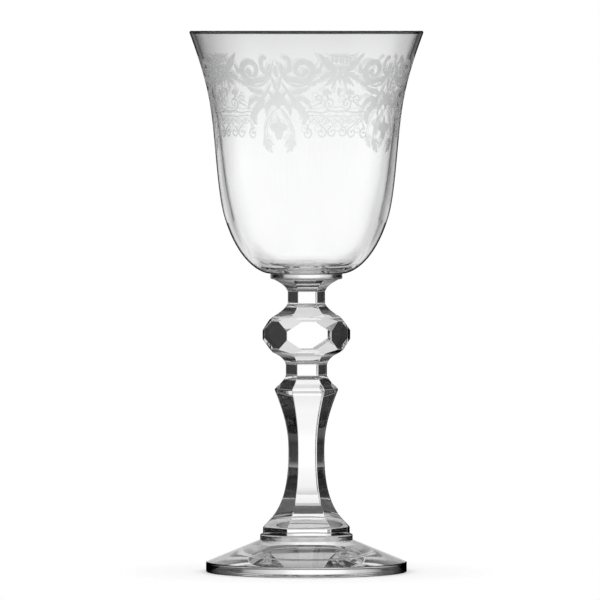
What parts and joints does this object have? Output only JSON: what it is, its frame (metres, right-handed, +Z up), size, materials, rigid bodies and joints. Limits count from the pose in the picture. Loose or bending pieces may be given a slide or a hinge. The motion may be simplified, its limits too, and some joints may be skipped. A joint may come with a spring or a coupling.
{
  "type": "cordial glass",
  "caption": "Small clear stemmed cordial glass: bell-shaped bowl with a flared rim, faceted knop and baluster stem, and a broad round foot.",
  "frame": {"origin": "middle of the foot's resting face, on the glass's axis", "axes": "+Z up along the glass's axis to the rim; -Y out of one flat panel of the six-sided stem"},
  "size_m": [0.054, 0.054, 0.1249],
  "materials": {
    "clear_glass": "clear fire-polished glass",
    "etched_glass": "matt etched ornament in the bowl's outer surface"
  },
  "bodies": {
    "root": {"foot": "clear_glass", "foot_collar": "clear_glass", "stem": "clear_glass", "bowl_collar": "clear_glass", "bowl": "clear_glass"}
  },
  "joints": []
}
